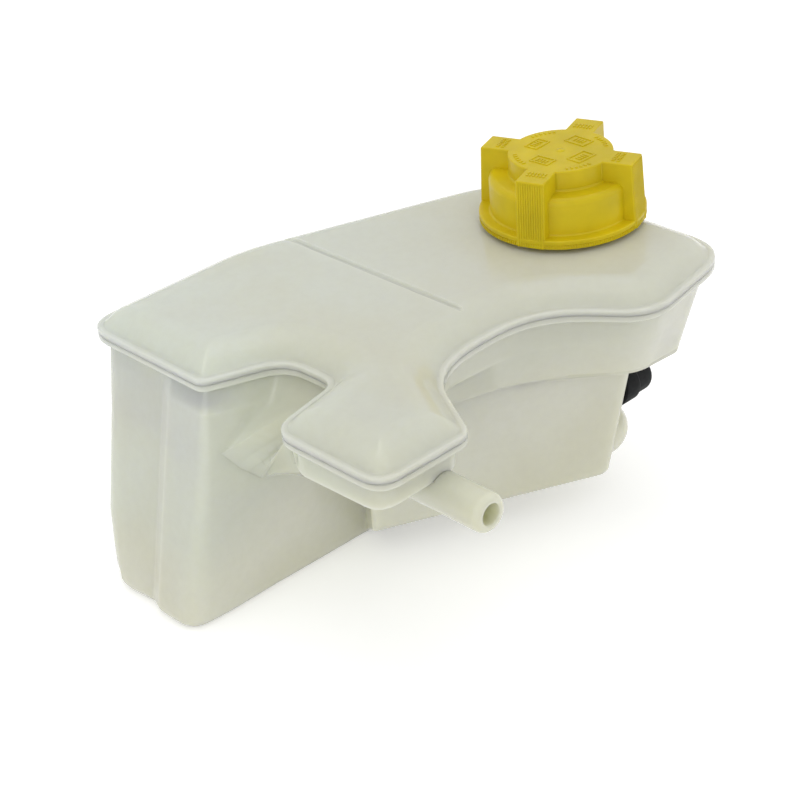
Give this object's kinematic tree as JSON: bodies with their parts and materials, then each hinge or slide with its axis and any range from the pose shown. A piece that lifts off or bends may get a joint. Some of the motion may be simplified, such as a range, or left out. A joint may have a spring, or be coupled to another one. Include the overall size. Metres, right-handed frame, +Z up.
{
  "type": "coolant expansion tank",
  "caption": "Translucent two-shell coolant expansion tank with a neck, a yellow screw cap holding pressure and vacuum valves, hose stubs, a blanked stub and mounting ears.",
  "frame": {"origin": "middle of the base of the whole part, on the surface it stands on", "axes": "+Z up along the neck and cap axis, +X along the tank towards the neck end, -Y towards the front with the nose"},
  "size_m": [0.2336, 0.2195, 0.1474],
  "materials": {
    "milky_plastic": "translucent, satin",
    "yellow_plastic": "moulded, satin",
    "black_plastic": "moulded, satin",
    "black_rubber": "moulded",
    "zinc_steel": "zinc plated",
    "spring_steel": "drawn wire",
    "brass": "turned"
  },
  "bodies": {
    "tank": {"upper_shell": "milky_plastic", "lower_shell": "milky_plastic", "left_ear": "milky_plastic", "right_ear": "milky_plastic", "left_sleeve": "zinc_steel", "right_sleeve": "zinc_steel"},
    "valve_unit": {"valve_housing": "black_plastic", "spring_cover": "black_plastic", "neck_gasket": "black_rubber", "housing_oring": "black_rubber", "pressure_spring": "spring_steel"},
    "cap": {"cap_shell": "yellow_plastic"},
    "pressure_valve": {"pressure_plate": "zinc_steel", "pressure_seal": "black_rubber", "vacuum_spring": "spring_steel"},
    "vacuum_valve": {"vacuum_poppet": "brass", "vacuum_clip": "zinc_steel"},
    "blank": {"blanking_cap": "black_rubber"}
  },
  "joints": [
    {"name": "cap_lift", "type": "slide", "parent": "tank", "child": "valve_unit", "axis": [0, 0, 1], "range_m": [0, 0.045]},
    {"name": "cap_turn", "type": "hinge", "parent": "valve_unit", "child": "cap", "pos_m": [0.08175, -0.0082, 0.1385], "axis": [0, 0, 1], "range_deg": [0, 540]},
    {"name": "pressure_relief", "type": "slide", "parent": "valve_unit", "child": "pressure_valve", "axis": [0, 0, 1], "range_m": [0, 0.003], "stiffness_N_per_m": 3000, "springref_m": -0.01, "deforming": ["pressure_spring"]},
    {"name": "vacuum_relief", "type": "slide", "parent": "pressure_valve", "child": "vacuum_valve", "axis": [0, 0, -1], "range_m": [0, 0.002], "stiffness_N_per_m": 300, "springref_m": -0.002, "deforming": ["vacuum_spring"]},
    {"name": "blank_pull", "type": "slide", "parent": "tank", "child": "blank", "axis": [1, 0, 0], "range_m": [0, 0.025]}
  ]
}
